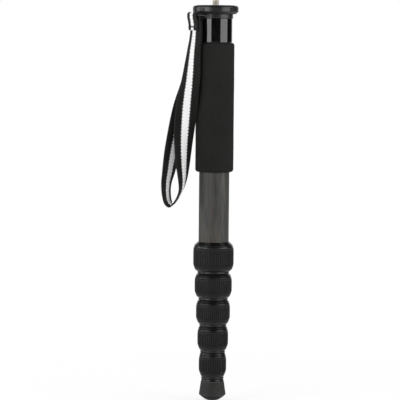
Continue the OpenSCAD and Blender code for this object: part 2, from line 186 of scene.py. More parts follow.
def spin(outline):
    """Spins a closed outline in millimetres about the pole. Its edge attribute marks the arcs."""
    bm = bmesh.new()
    edge = bm.verts.layers.float.new("edge")
    rings = []
    for (radius, height), arc in outline:
        ring = []
        for k in range(1 if radius == 0 else SEGMENTS):
            turn = 2 * math.pi * k / SEGMENTS
            vert = bm.verts.new((radius * MM * math.cos(turn), radius * MM * math.sin(turn), height * MM))
            vert[edge] = arc
            ring.append(vert)
        rings.append(ring)
    for below, above in zip(rings, rings[1:] + rings[:1]):
        for k in range(SEGMENTS):
            corners = [
                below[k % len(below)], below[(k + 1) % len(below)],
                above[(k + 1) % len(above)], above[k % len(above)],
            ]
            face = list(dict.fromkeys(corners))
            if len(face) > 2:
                bm.faces.new(face)
    return bm


def dress(piece, body, slot, *nodes):
    """Hangs a finished piece on its body, in the place of its CAD nodes."""
    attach(piece, body)
    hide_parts(*nodes)


def turned(name, outline, radius, material, body, slot, *nodes):
    """A lathe piece with softened corners, in the place of the CAD nodes that it stands for."""
    piece = finish_mesh(name, spin(soften(outline, radius)), material)
    print(name, "faces:", len(piece.data.polygons))
    dress(piece, body, slot, *nodes)


print("faces round a lathe piece:", SEGMENTS)

# %% [markdown]
# ## Materials
# Each finish starts from what the real surface is and how it was made. Colours are written as
# sRGB hex values, as a colour picker shows them, and one function turns them to the linear
# light that the shader works in. Patterns are sized in millimetres. One small function adds a
# node. The kinds that come up most have short names: a MIX takes its factor at 0 and numbers at
# 2 and 3, or with TINT colours at 6 and 7; a RANGE takes its value at 0 and maps 1 to 2 onto
# 3 to 4.

# %% Helpers for materials
MIX, RANGE, MATH = "ShaderNodeMix", "ShaderNodeMapRange", "ShaderNodeMath"
NOISE, BUMP = "ShaderNodeTexNoise", "ShaderNodeBump"
TINT = {"data_type": "RGBA"}


def linear(hex_colour):
    """An sRGB hex colour as linear red, green, blue and alpha."""
    parts = [int(hex_colour[k:k + 2], 16) / 255 for k in (1, 3, 5)]
    return [p / 12.92 if p <= 0.04045 else ((p + 0.055) / 1.055) ** 2.4 for p in parts] + [1]


def add(tree, kind, inputs=None, **settings):
    """Adds a node. An input is a value, a hex colour, an output, or a node for its first live output."""
    node = tree.nodes.new(kind)
    for name, value in settings.items():
        setattr(node, name, value)
    for name, value in (inputs or {}).items():
        if isinstance(value, bpy.types.Node):
            value = next(output for output in value.outputs if output.enabled)
        if isinstance(value, bpy.types.NodeSocket):
            tree.links.new(value, node.inputs[name])
        else:
            node.inputs[name].default_value = linear(value) if isinstance(value, str) else value
    return node


def per_mm(millimetres):
    """The texture scale at which one repeat in metres is that many millimetres."""
    return 1 / (millimetres * MM)


def begin(name):
    """A new material's node tree, with Object coordinates ready to use."""
    material = bpy.data.materials.new(name)
    material.use_nodes = True
    tree = material.node_tree
    tree.nodes.clear()
    return material, tree, add(tree, "ShaderNodeTexCoord").outputs["Object"]


def close(tree, **inputs):
    """Ends a material in one Principled shader. An underscore stands for a space in a socket's name."""
    named = {name.replace("_", " "): value for name, value in inputs.items()}
    shader = add(tree, "ShaderNodeBsdfPrincipled", named)
    add(tree, "ShaderNodeOutputMaterial", {"Surface": shader})


print("middle grey in linear light:", round(linear("#808080")[0], 3))

# %% [markdown]
# ### Anodised aluminium, black and grey
# The neck is turned aluminium, polished and dyed black in the anodising bath. The eye sees
# almost no colour, only sharp bands of the lamps. The top collar and the nuts are left as
# turned. The lower collars and the foot's rim get a duller copy of that black, with less
# specular and a darker worn tone: a painted shade, so the lamps fade softly on them. The plate
# and its ring are bead blasted and dyed grey. Dressed pieces wear to a paler tone where an edge
# is handled, which the edge attribute of the lathe marks.
# The plate's spanner holes are coloured pale inside, a painted light that lifts the shade in
# them: the finish knows them by their distance from the axis and from the middle of the rim.

# %% Anodised finishes
HOLE_HALF, HOLE_FROM, HOLE_TO, RIM_HALF = 1.9, 12, 20.8, 3.9
SMEAR_MM, HOLE_PAINTED_LIGHT = 11, "#999998"
# Name, colours from deep to worn, roughness from and to, metallic, specular, grit in mm, painted light in the
# holes
ANODISED = (
    ("gloss_black_anodised_aluminium", "#050506", "#09090a", "#303032", 0.05, 0.09, 0, 1, 0.8, False),
    ("semi_gloss_black_anodised_aluminium", "#0a0a0a", "#101010", "#38383a", 0.2, 0.28, 0, 0.6, 0.6, False),
    ("satin_grey_anodised_aluminium", "#3d3d3e", "#464647", "#6a6a6b", 0.27, 0.33, 0.8, 0.5, 0.6, True),
    # Painted shade: a duller, darker copy of the black, for the lower collars and the foot's rim.
    ("shaded_satin_black_anodised_aluminium", "#0a0a0a", "#101010", "#303031", 0.3, 0.38, 0, 0.42, 0.6, False),
)
rim_middle = high("top_plate") - RIM_HALF


def in_holes(tree, place):
    """1 inside the spanner holes of the plate's rim, and 0 on its skin."""
    split = add(tree, "ShaderNodeSeparateXYZ", {0: place})
    level = add(tree, "ShaderNodeCombineXYZ", {"X": split.outputs[0], "Y": split.outputs[1]})
    radius = add(tree, "ShaderNodeVectorMath", {0: level}, operation="LENGTH")
    middle, half = (HOLE_FROM + HOLE_TO) / 2 * MM, (HOLE_TO - HOLE_FROM) / 2 * MM
    ring = add(tree, MATH, {0: radius, 1: middle, 2: half}, operation="COMPARE")
    band = {0: split.outputs[2], 1: rim_middle * MM, 2: HOLE_HALF * MM}
    height = add(tree, MATH, band, operation="COMPARE")
    return add(tree, MATH, {0: height, 1: ring}, operation="MULTIPLY")


def anodised(name, deep, pale, worn, rough_low, rough_high, metallic, specular, grit_mm, light_in_holes):
    material, tree, place = begin(name)
    grit = add(tree, NOISE, {"Vector": place, "Scale": per_mm(grit_mm), "Detail": 3})
    smear = add(tree, NOISE, {"Vector": place, "Scale": per_mm(SMEAR_MM), "Detail": 4})
    handled = add(tree, "ShaderNodeAttribute", attribute_name="edge").outputs["Fac"]
    patchy = add(tree, RANGE, {0: smear, 1: 0.45, 2: 0.7, 3: 0, 4: 0.5})
    wear = add(tree, MATH, {0: handled, 1: patchy}, operation="MULTIPLY")
    colour = add(tree, MIX, {0: smear, 6: deep, 7: pale}, **TINT)
    colour = add(tree, MIX, {0: wear, 6: colour, 7: worn}, **TINT)
    # Painted light: the spanner holes are coloured pale to lift the shade inside them.
    if light_in_holes:
        holes = in_holes(tree, place)
        colour = add(tree, MIX, {0: holes, 6: colour, 7: HOLE_PAINTED_LIGHT}, **TINT)
    bump = add(tree, BUMP, {"Height": grit, "Strength": 0.04, "Distance": 0.05 * MM})
    close(
        tree, Base_Color=colour, Metallic=metallic, Normal=bump, Specular_IOR_Level=specular,
        Roughness=add(tree, RANGE, {0: smear, 1: 0.35, 2: 0.65, 3: rough_low, 4: rough_high}),
    )
    return material


gloss_black, semi_gloss_black, satin_grey, shaded_satin_black = (anodised(*row) for row in ANODISED)
print("anodised:", [row[0] for row in ANODISED])

# %% [markdown]
# ### Brass, carbon, rubber and acetal
# The stud is turned brass with a thin wash of nickel, so it is paler and greyer than bare
# brass. The tubes are carbon fibre wound in resin and sanded: a warm dark grey with fine
# streaks along the fibres. Rubber is matt and slightly dusty, and paler along the edges that
# get rubbed. The collets and the bushes inside the locks are ivory acetal, as slippery
# plastics are. Grain and tool marks are drawn coarser than they are, so that they show.

# %% Brass and carbon
TOOL_MARKS = 9, 9, 0.5
FIBRES, FIBRE_BANDS = (1.2, 1.2, 18), (4, 4, 45)

stud_brass, tree, place = begin("nickel_washed_brass")
rings = add(tree, "ShaderNodeMapping", {"Vector": place, "Scale": [per_mm(s) for s in TOOL_MARKS]})
tool_marks = add(tree, NOISE, {"Vector": rings, "Scale": 1, "Detail": 2})
colour = add(tree, MIX, {0: tool_marks, 6: "#e0d8cc", 7: "#f2ece2"}, **TINT)
rough = add(tree, RANGE, {0: tool_marks, 1: 0.3, 2: 0.7, 3: 0.35, 4: 0.5})
bump = add(tree, BUMP, {"Height": tool_marks, "Strength": 0.15, "Distance": 0.05 * MM})
close(tree, Base_Color=colour, Metallic=0.75, Roughness=rough, Normal=bump)

carbon, tree, place = begin("sanded_carbon_fibre")
fine = add(tree, "ShaderNodeMapping", {"Vector": place, "Scale": [per_mm(s) for s in FIBRES]})
fibres = add(tree, NOISE, {"Vector": fine, "Scale": 1, "Detail": 4, "Roughness": 0.6})
broad = add(tree, "ShaderNodeMapping", {"Vector": place, "Scale": [per_mm(s) for s in FIBRE_BANDS]})
bands = add(tree, NOISE, {"Vector": broad, "Scale": 1, "Detail": 2})
mixed = add(tree, MIX, {0: 0.35, 2: fibres, 3: bands})
streaks = add(tree, RANGE, {0: mixed, 1: 0.33, 2: 0.67, 3: 0, 4: 1})
cool = add(tree, MIX, {0: streaks, 6: "#222322", 7: "#434443"}, **TINT)
warm = add(tree, MIX, {0: streaks, 6: "#262320", 7: "#49443d"}, **TINT)
hue = add(tree, RANGE, {0: bands, 1: 0.4, 2: 0.6, 3: 0, 4: 1})
colour = add(tree, MIX, {0: hue, 6: cool, 7: warm}, **TINT)
rough = add(tree, RANGE, {0: streaks, 1: 0, 2: 1, 3: 0.55, 4: 0.45})
bump = add(tree, BUMP, {"Height": fibres, "Strength": 0.12, "Distance": 0.06 * MM})
close(tree, Base_Color=colour, Normal=bump, Specular_IOR_Level=0.5, Roughness=rough)
print("metal and tube:", stud_brass.name, carbon.name)

# %% Rubber and acetal
DUST_MM, FLOW_MM = 14, 6
# Name, colours from deep to worn, specular, grain in mm and its depth
RUBBERS = (
    ("ribbed_lock_rubber", "#111110", "#191918", "#222221", 0.33, 0.9, 0.2),
    ("foot_rubber", "#1d1d1c", "#272726", "#3c3c3a", 0.4, 1.1, 0.3),
    ("plate_pad_rubber", "#1b1b1d", "#242426", "#2c2c2d", 0.4, 0.8, 0.4),
)


def rubber(name, deep, pale, worn, specular, grain_mm, depth):
    material, tree, place = begin(name)
    grain = add(tree, NOISE, {"Vector": place, "Scale": per_mm(grain_mm), "Detail": 4})
    dust = add(tree, NOISE, {"Vector": place, "Scale": per_mm(DUST_MM), "Detail": 5})
    dusty = add(tree, RANGE, {0: dust, 1: 0.3, 2: 0.7, 3: 0, 4: 1})
    colour = add(tree, MIX, {0: dusty, 6: deep, 7: pale}, **TINT)
    rubbed = add(tree, "ShaderNodeAttribute", attribute_name="edge").outputs["Fac"]
    colour = add(tree, MIX, {0: rubbed, 6: colour, 7: worn}, **TINT)
    rough = add(tree, RANGE, {0: grain, 1: 0.3, 2: 0.7, 3: 0.55, 4: 0.7})
    bump = add(tree, BUMP, {"Height": grain, "Strength": depth, "Distance": 0.15 * MM})
    close(
        tree, Base_Color=colour, Roughness=rough, Normal=bump,
        Specular_IOR_Level=specular, Sheen_Weight=0.08, Sheen_Roughness=0.4,
    )
    return material


lock_rubber, foot_rubber, pad_rubber = (rubber(*row) for row in RUBBERS)
ivory_acetal, tree, place = begin("ivory_acetal")
flow = add(tree, NOISE, {"Vector": place, "Scale": per_mm(FLOW_MM), "Detail": 3})
colour = add(tree, MIX, {0: flow, 6: "#d6d3c8", 7: "#e6e4dc"}, **TINT)
close(tree, Base_Color=colour, Roughness=add(tree, RANGE, {0: flow, 1: 0.3, 2: 0.7, 3: 0.35, 4: 0.45}))
print("materials so far:", len(bpy.data.materials))

# %% [markdown]
# ### Finishes on the CAD pieces that stay
# The plate with its spanner holes, the ring, the wire bail, the foot's plug, the tubes and the
# plastic inside the locks have the right shape already. They only get their materials.

# %% Finish the CAD pieces
finished = {
    satin_grey: ["top_plate", "strap_ring", "strap_bail"],
    shaded_satin_black: ["foot_plug"],
    carbon: [f"tube_{i}" for i in TUBES],
    ivory_acetal: [f"collet_{i}" for i in LOCKS] + [f"slide_bush_{i}" for i in TUBES[1:]],
}
for material, nodes in finished.items():
    for node in nodes:
        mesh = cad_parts[node].data
        mesh.materials.clear()
        mesh.materials.append(material)
print("CAD nodes with a finish:", sum(len(nodes) for nodes in finished.values()))

# %% [markdown]
# ## Neck, collars and nuts
# These are the black turnings. The frame gives the tubes' radii and each lock's top and bottom.
# The rest are the few millimetres that shape the outline.

# %% Sizes of the locks
LIP_OVER, LIP_GROW, EDGE_INSET = 0.4, 0.45, 0.1
COLLAR_INSET, COLLAR_GROOVE = 0.45, 0.8
TOP_BEVEL, TOP_BEVEL_H, LOW_BEVEL, LOW_BEVEL_H = 0.92, 3.7, 0.8, 2.3
TOP_EDGE_OVER, SPIGOT_WALL, THREAD_FIT, BOND_FIT = 0.5, 1.6, 0.08, 0.02


def lip_r(i):
    """Outside radius of the lip under nut i."""
    return tube_r(i) + LIP_OVER + LIP_GROW * (i - 1)


def sleeve_r(i):
    """Widest radius of the ribbed sleeve on nut i."""
    return wide(f"nut_grip_{i}")


for i in LOCKS:
    ends = low(f"lock_nut_{i}"), high(f"lock_collar_{i}")
    print("lock", i, "tube", tube_r(i), "sleeve", sleeve_r(i), "from and to", ends)

# %% Neck hub
neck_low, neck_top = low("neck_hub"), high("neck_hub")
SPIGOT_R, SPIGOT_DEPTH, HUB_FLOOR, NECK_EDGE = 11.02, 3.5, 3, 0.4
neck_bore = tube_r(1) + BOND_FIT
neck_outline = [
    (0, neck_top - SPIGOT_DEPTH - HUB_FLOOR), (neck_bore, neck_top - SPIGOT_DEPTH - HUB_FLOOR),
    (neck_bore, neck_low), (wide("neck_hub"), neck_low), (wide("neck_hub"), neck_top),
    (SPIGOT_R, neck_top), (SPIGOT_R, neck_top - SPIGOT_DEPTH), (0, neck_top - SPIGOT_DEPTH),
]
turned("neck_sleeve", neck_outline, NECK_EDGE, gloss_black, "section_1", "gloss_anodised", "neck_hub")

# %% Lock collars
COLLAR_EDGE, SLEEVE_GAP = 0.25, 0.3


def collar_outline(i):
    """A bevel down to a groove, a cone that ends just inside the sleeve, the threaded spigot."""
    top, spigot_end = high(f"lock_collar_{i}"), low(f"lock_collar_{i}")
    base = high(f"nut_grip_{i}") + SLEEVE_GAP
    bore, spigot = tube_r(i) + BOND_FIT, tube_r(i) + SPIGOT_WALL
    edge = tube_r(1) + TOP_EDGE_OVER if i == 1 else lip_r(i - 1) - EDGE_INSET
    rim = sleeve_r(i) - COLLAR_INSET
    bevel, bevel_h = (TOP_BEVEL, TOP_BEVEL_H) if i == 1 else (LOW_BEVEL, LOW_BEVEL_H)
    groove_z, groove_r = top - bevel_h, edge + (rim - edge) * bevel
    return [
        (bore, top), (edge, top), (groove_r, groove_z + COLLAR_GROOVE / 2),
        (groove_r - COLLAR_GROOVE, groove_z), (groove_r, groove_z - COLLAR_GROOVE / 2),
        (rim, base + COLLAR_GROOVE), (rim, base), (spigot, base), (spigot, spigot_end), (bore, spigot_end),
    ]


for i in LOCKS:
    # Painted shade: the collars below the first take the duller black, which dims the lamps on them.
    turned(
        f"collar_{i}", collar_outline(i), COLLAR_EDGE, semi_gloss_black if i == 1 else shaded_satin_black,
        f"section_{i}", "gloss_anodised", f"lock_collar_{i}",
    )

# %% Lock nuts
SLEEVE_WALL, LIP_STEP, LIP_BAND_H, LIP_H = 1.6, 1.5, 0.3, 4
LIP_CONE_TOP, LIP_CONE_LESS = 1.65, 0.25
LIP_GROOVE_H, LIP_GROOVE_D, LIP_RING_H, LIP_RING_OVER, LIP_EDGE = 0.9, 0.4, 1.2, 0.4, 0.2
MOUTH_FIT, MOUTH_H, COLLET_SHOULDER, COLLET_TIP, SLIDE_FIT = 0.4, 3, 1.2, 1, 0.05
NUT_EDGE = 0.2


def nut_outline(i):
    """Threaded bore, the band under the sleeve, a groove, the lip's ring, the mouth and the cone."""
    bottom, top = low(f"lock_nut_{i}"), high(f"lock_nut_{i}")
    shoulder = low(f"lock_collar_{i}") - BOND_FIT
    bore, outer = tube_r(i) + SPIGOT_WALL + THREAD_FIT, sleeve_r(i) - SLEEVE_WALL - BOND_FIT
    mouth = tube_r(i + 1) + MOUTH_FIT
    cone_top = tube_r(i) + COLLET_SHOULDER + THREAD_FIT
    cone_tip = tube_r(i + 1) + SLIDE_FIT + COLLET_TIP + THREAD_FIT
    band = sleeve_r(i) - LIP_STEP
    seat, ring_top = bottom + LIP_H, bottom + LIP_RING_H
    groove_top = ring_top + LIP_GROOVE_H
    cone_r = lip_r(i) + LIP_CONE_TOP - LIP_CONE_LESS * i
    groove_r, ring_r = lip_r(i) - LIP_GROOVE_D, lip_r(i) + LIP_RING_OVER
    return [
        (bore, top), (outer, top), (outer, seat), (band, seat), (band, seat - LIP_BAND_H),
        (cone_r, groove_top), (groove_r, groove_top), (groove_r, ring_top), (ring_r, ring_top),
        (ring_r, bottom + LIP_EDGE), (lip_r(i), bottom), (mouth, bottom), (mouth, bottom + MOUTH_H),
        (cone_tip, bottom + MOUTH_H), (cone_top, shoulder), (bore, shoulder),
    ]


for i in LOCKS:
    turned(
        f"nut_{i}", nut_outline(i), NUT_EDGE, semi_gloss_black, f"lock_{i}", "gloss_anodised", f"lock_nut_{i}"
    )

# %% [markdown]
# ## Ribbed sleeves
# A rubber sleeve grips each nut, with a rib every two millimetres or so. One rib could be
# cut from a solid ring again and again, but a repeat is what Geometry Nodes do best: one
# strip of the sleeve, a rib's crest on either side of a groove, is instanced round the pole,
# realised and welded into one closed ring.

# %% One strip of a sleeve
RIB_PITCH, RIB_GROOVE_W, RIB_GROOVE_D = 1.95, 0.75, 0.5
RIB_TOP_BAND, RIB_LOW_BAND = 1.3, 2.6
SLEEVE_BREAK_W, SLEEVE_BREAK_H, CROWN_W, CROWN_H = 0.45, 0.6, 0.15, 3.4
SLEEVE_ROUND_W, SLEEVE_ROUND_H, SLEEVE_CURVE = 1.45, 5, 1.6
SLEEVE_STEPS = 7
GROOVE_RUN_OUT, GROOVE_FLANK = 0.35, 0.25
STRIP_WELD, SLEEVE_SMOOTH = 0.002, 50
RIBS = {i: round(2 * math.pi * sleeve_r(i) / RIB_PITCH) for i in LOCKS}


def sleeve_outer(i, height):
    """Radius of the plain sleeve at a height: a broken top edge, a slight crown, a curve in below."""
    outer, top, bottom = sleeve_r(i), high(f"nut_grip_{i}"), low(f"nut_grip_{i}")
    down, up = top - height, height - bottom
    if down < SLEEVE_BREAK_H:
        return outer - SLEEVE_BREAK_W + (SLEEVE_BREAK_W - CROWN_W) * math.sqrt(down / SLEEVE_BREAK_H)
    if down < CROWN_H:
        return outer - CROWN_W * (1 - (down - SLEEVE_BREAK_H) / (CROWN_H - SLEEVE_BREAK_H))
    if up < SLEEVE_ROUND_H:
        return outer - SLEEVE_ROUND_W * (1 - up / SLEEVE_ROUND_H) ** SLEEVE_CURVE
    return outer


def sleeve_strip(i):
    """One rib's share of sleeve i: its outer skin with the groove, its ends and its bore."""
    top, bottom = high(f"nut_grip_{i}"), low(f"nut_grip_{i}")
    bore = sleeve_r(i) - SLEEVE_WALL
    rib_low, rib_high = bottom + RIB_LOW_BAND, top - RIB_TOP_BAND
    heights = [bottom + SLEEVE_ROUND_H * k / SLEEVE_STEPS for k in range(SLEEVE_STEPS + 1)]
    heights += [rib_low, rib_low + GROOVE_RUN_OUT, rib_high - GROOVE_RUN_OUT, rib_high]
    heights += [top - d for d in (CROWN_H, SLEEVE_BREAK_H, SLEEVE_BREAK_H / 2, SLEEVE_BREAK_H / 6, 0)]
    heights = sorted({round(h, 4) for h in heights})
    half = RIB_GROOVE_W / 2 / sleeve_r(i)
    pitch = 2 * math.pi / RIBS[i]
    flank = GROOVE_FLANK * half
    turns = (-pitch / 2, -half - flank, -half + flank, half - flank, half + flank, pitch / 2)
    depths = (0, 0, 1, 1, 0, 0)
    bm = bmesh.new()
    columns = []
    for turn, share in zip(turns, depths):
        column = [(bore, bottom)]
        for h in heights:
            inside = rib_low + GROOVE_RUN_OUT / 2 < h < rib_high - GROOVE_RUN_OUT / 2
            column.append((sleeve_outer(i, h) - RIB_GROOVE_D * share * inside, h))
        column.append((bore, top))
        columns.append([
            bm.verts.new((r * MM * math.cos(turn), r * MM * math.sin(turn), h * MM)) for r, h in column
        ])
    for left, right in zip(columns, columns[1:]):
        for a, b, c, d in zip(left, right, right[1:] + right[:1], left[1:] + left[:1]):
            bm.faces.new((a, b, c, d))
    return finish_mesh(f"sleeve_strip_{i}", bm, lock_rubber)


print("ribs on each sleeve:", RIBS)

# %% Sleeves by Geometry Nodes
def node_group(name, **kinds):
    """A tree from geometry to geometry with more inputs by name, and the outputs of its input node."""
    tree = bpy.data.node_groups.new(name, "GeometryNodeTree")
    for label, kind in {"Geometry": "Geometry", **kinds}.items():
        tree.interface.new_socket(label, in_out="INPUT", socket_type=f"NodeSocket{kind}")
    tree.interface.new_socket("Result", in_out="OUTPUT", socket_type="NodeSocketGeometry")
    return tree, add(tree, "NodeGroupInput").outputs


def hand_on(tree, given, geometry):
    """Ends a tree: the geometry gets its material and is the result."""
    coated = add(tree, "GeometryNodeSetMaterial", {0: geometry, "Material": given["Material"]})
    add(tree, "NodeGroupOutput", {0: coated})


def bake(source, name, tree, **inputs):
    """Runs a node tree on an object with inputs by name, and keeps the result as a plain mesh."""
    modifier = source.modifiers.new("repeat", "NODES")
    modifier.node_group = tree
    for label, value in inputs.items():
        modifier[tree.interface.items_tree[label].identifier] = value
    evaluated = source.evaluated_get(bpy.context.evaluated_depsgraph_get())
    mesh = bpy.data.meshes.new_from_object(evaluated)
    mesh.name = name
    bpy.data.objects.remove(source)
    piece = bpy.data.objects.new(name, mesh)
    scene.collection.objects.link(piece)
    return piece


tree, given = node_group("repeat_round_the_pole", Count="Int", Weld="Float", Material="Material")
spots = add(tree, "GeometryNodeMeshLine", {"Count": given["Count"], "Offset": (0, 0, 0)})
number = add(tree, "GeometryNodeInputIndex")
share = add(tree, MATH, {0: number, 1: given["Count"]}, operation="DIVIDE")
turn = add(tree, MATH, {0: share, 1: 2 * math.pi}, operation="MULTIPLY")
about_pole = add(tree, "ShaderNodeCombineXYZ", {"Z": turn})
each = {"Points": spots, "Instance": given["Geometry"], "Rotation": about_pole}
copies = add(tree, "GeometryNodeInstanceOnPoints", each)
real = add(tree, "GeometryNodeRealizeInstances", {0: copies})
welded = add(tree, "GeometryNodeMergeByDistance", {0: real, "Distance": given["Weld"]})
hand_on(tree, given, welded)

for i in LOCKS:
    settings = {"Count": RIBS[i], "Weld": STRIP_WELD * MM, "Material": lock_rubber}
    sleeve = bake(sleeve_strip(i), f"sleeve_{i}", tree, **settings)
    sleeve.data.set_sharp_from_angle(angle=math.radians(SLEEVE_SMOOTH))
    dress(sleeve, f"lock_{i}", "lock_rubber", f"nut_grip_{i}")
    print(sleeve.name, "faces:", len(sleeve.data.polygons))

# %% [markdown]
# ## Foot
# The foot is one moulding of soft rubber. Its sole is a shallow bowl with a small flat, which
# ends in a crisp corner where the mould parts. From there the sides draw in to the metal rim.

# %% Rubber foot
FOOT_FLAT_R, FOOT_WIDE_H, FOOT_TOP_ROUND, FOOT_RIM_OVER = 3, 5.6, 0.6, 0.6
BUTTON_R, BUTTON_FLOOR, BUTTON_H, STEM_R = 8.52, 5.98, 5.04, 6.02
SOLE_STEPS, SOLE_CURVE = 14, 1.7
foot_top, foot_r = high("rubber_foot"), wide("rubber_foot")
foot_top_r = lip_r(LOCKS[-1]) - EDGE_INSET + FOOT_RIM_OVER
sole = [
    (FOOT_FLAT_R + (foot_r - FOOT_FLAT_R) * s, FOOT_WIDE_H * s ** SOLE_CURVE)
    for s in np.linspace(0, 1, SOLE_STEPS)
]
foot_outline = [(0, 0), *sole, (foot_top_r, foot_top), (STEM_R, foot_top), (STEM_R, BUTTON_FLOOR + BUTTON_H),
                (BUTTON_R, BUTTON_FLOOR + BUTTON_H), (BUTTON_R, BUTTON_FLOOR), (0, BUTTON_FLOOR)]
turned("foot", foot_outline, FOOT_TOP_ROUND, foot_rubber, "section_6", "foot_rubber", "rubber_foot")

# %% [markdown]
# ## Foam grip
# The grip is a sleeve of closed-cell foam that was pushed on wet. It is soft, so its ends are
# round and its wall is never quite straight: it is drawn as a lathe form whose skin swells and
# sinks by a tenth of a millimetre. The finish has the cells of the cut foam, drawn as coarse
# as they need to be to show.

# %% Foam finish
CELL_MM, FUZZ_MM, HANDS_MM = 1.1, 0.7, 26
foam, tree, place = begin("closed_cell_foam")
cells = add(tree, "ShaderNodeTexVoronoi", {"Vector": place, "Scale": per_mm(CELL_MM), "Randomness": 1})
fine = {"Vector": place, "Scale": per_mm(FUZZ_MM), "Detail": 5, "Roughness": 0.7}
hands = add(tree, NOISE, {"Vector": place, "Scale": per_mm(HANDS_MM), "Detail": 4})
pits = add(tree, RANGE, {0: cells, 1: 0.05, 2: 0.5, 3: 0, 4: 1})
skin = add(tree, MIX, {0: 0.5, 2: pits, 3: add(tree, NOISE, fine)})
tone = add(tree, MIX, {0: 0.5, 2: skin, 3: hands})
tone = add(tree, RANGE, {0: tone, 1: 0.3, 2: 0.65, 3: 0, 4: 1})
colour = add(tree, MIX, {0: tone, 6: "#121211", 7: "#1e1e1d"}, **TINT)
rough = add(tree, RANGE, {0: skin, 1: 0.2, 2: 0.8, 3: 0.95, 4: 0.8})
bump = add(tree, BUMP, {"Height": skin, "Strength": 0.35, "Distance": 0.25 * MM})
close(tree, Base_Color=colour, Roughness=rough, Normal=bump, Specular_IOR_Level=0.2)
print("foam cells in mm:", CELL_MM)

# %% Foam grip
FOAM_ROUND, FOAM_ARC, FOAM_ROWS, FOAM_BORE_FIT = 2.5, 8, 70, 0.05
FOAM_SWELL, FOAM_SKIN = 0.12, 0.5
FOAM_WAVES = (3, 90, 0), (5, -210, 1)
foam_low, foam_high, foam_r = low("foam_grip"), high("foam_grip"), wide("foam_grip")
foam_bore = tube_r(1) + FOAM_BORE_FIT
rim_arc = [(1 - math.sin(a), 1 - math.cos(a)) for a in np.linspace(0, math.pi / 2, FOAM_ARC)]
foam_rows = np.linspace(foam_low + 2 * FOAM_ROUND, foam_high - 2 * FOAM_ROUND, FOAM_ROWS)
foam_outline = [(foam_bore, foam_low)]
foam_outline += [(foam_r - FOAM_ROUND * x, foam_low + FOAM_ROUND * z) for x, z in rim_arc]
foam_outline += [(foam_r, z) for z in foam_rows]
foam_outline += [(foam_r - FOAM_ROUND * x, foam_high - FOAM_ROUND * z) for x, z in reversed(rim_arc)]
foam_outline += [(foam_bore, foam_high)]
foam_mesh = spin([(point, 0) for point in foam_outline])
for vert in foam_mesh.verts:
    turn = math.atan2(vert.co.y, vert.co.x)
    if math.hypot(vert.co.x, vert.co.y) > (foam_bore + FOAM_SKIN) * MM:
        wave = sum(math.sin(count * turn + vert.co.z * slope + start) for count, slope, start in FOAM_WAVES)
        vert.co.xy *= 1 + FOAM_SWELL / 2 * (wave - 2) / 2 / foam_r
grip = finish_mesh("foam_sleeve", foam_mesh, foam)
dress(grip, "section_1", "foam", "foam_grip")
print("foam grip faces:", len(grip.data.polygons), "from", foam_low, "to", foam_high)

# %% [markdown]
# ## Camera stud and pad
# The stud has the quarter-inch camera thread with twenty turns to the inch. A spiral curve
# with a diamond swept along it makes the thread in Geometry Nodes, over a turned core. The
# pad in the plate's top is rubber with ring-shaped ridges.

# %% Stud
STUD_R, THREAD_PITCH, THREAD_DEPTH, BODY_R = 3.175, 1.27, 0.62, 4.7625
STUD_SINK, STUD_TIP, STUD_EDGE, THREAD_STEPS = 0.3, 0.6, 0.2, 48
stud_top, stud_low = high("camera_stud"), low("camera_stud")
shoulder = high("top_plate") - STUD_SINK
core_r = STUD_R - THREAD_DEPTH
core_outline = [
    (0, stud_low), (BODY_R, stud_low), (BODY_R, shoulder), (core_r, shoulder),
    (core_r, stud_top - STUD_TIP / 2), (core_r - STUD_TIP, stud_top), (0, stud_top),
]

tree, given = node_group(
    "screw_thread", Turns="Float", Rise="Float", Radius="Float", Depth="Float", Start="Float",
    Material="Material",
)
helix = {"Resolution": THREAD_STEPS, "Rotations": given["Turns"], "Height": given["Rise"]}
helix.update({"Start Radius": given["Radius"], "End Radius": given["Radius"]})
spiral = add(tree, "GeometryNodeCurveSpiral", helix)
lift = add(tree, "ShaderNodeCombineXYZ", {"Z": given["Start"]})
raised = add(tree, "GeometryNodeSetPosition", {0: spiral, "Offset": lift})
upright = add(tree, "GeometryNodeSetCurveNormal", {0: raised}, mode="Z_UP")
ridge = add(tree, "GeometryNodeCurvePrimitiveCircle", {"Resolution": 4, "Radius": given["Depth"]})
swept = {"Curve": upright, "Profile Curve": ridge, "Fill Caps": True}
joined = add(tree, "GeometryNodeJoinGeometry", {0: add(tree, "GeometryNodeCurveToMesh", swept)})
tree.links.new(given["Geometry"], joined.inputs[0])
hand_on(tree, given, joined)

thread_run = stud_top - STUD_TIP - shoulder - THREAD_DEPTH
core = finish_mesh("stud_core", spin(soften(core_outline, STUD_EDGE)), stud_brass)
stud = bake(
    core, "threaded_stud", tree, Turns=thread_run / THREAD_PITCH, Rise=thread_run * MM, Radius=core_r * MM,
    Depth=THREAD_DEPTH * MM, Start=(shoulder + THREAD_DEPTH) * MM, Material=stud_brass,
)
dress(stud, "section_1", "stud_brass", "camera_stud")
print("stud turns:", round(thread_run / THREAD_PITCH, 1), "faces:", len(stud.data.polygons))

# %% Plate pad
PAD_RIDGES, PAD_RIDGE_H, PAD_HOLE, PAD_EDGE = 7, 0.25, 7, 0.12
VALLEY_TOP, VALLEY_FLOOR = 0.3, 0.15
pad_low, pad_high, pad_r = low("plate_pad"), high("plate_pad"), wide("plate_pad")
pad_floor = pad_high - PAD_RIDGE_H
pad_outline = [(PAD_HOLE, pad_low), (pad_r, pad_low), (pad_r, pad_high)]
ridge_w = (pad_r - PAD_HOLE) / PAD_RIDGES
for k in range(PAD_RIDGES - 1, 0, -1):
    valley = PAD_HOLE + ridge_w * k
    pad_outline += [(valley + VALLEY_TOP, pad_high), (valley + VALLEY_FLOOR, pad_floor),
                    (valley - VALLEY_FLOOR, pad_floor), (valley - VALLEY_TOP, pad_high)]
pad_outline += [(PAD_HOLE, pad_high)]
turned("pad_ring", pad_outline, PAD_EDGE, pad_rubber, "section_1", "pad_rubber", "plate_pad")

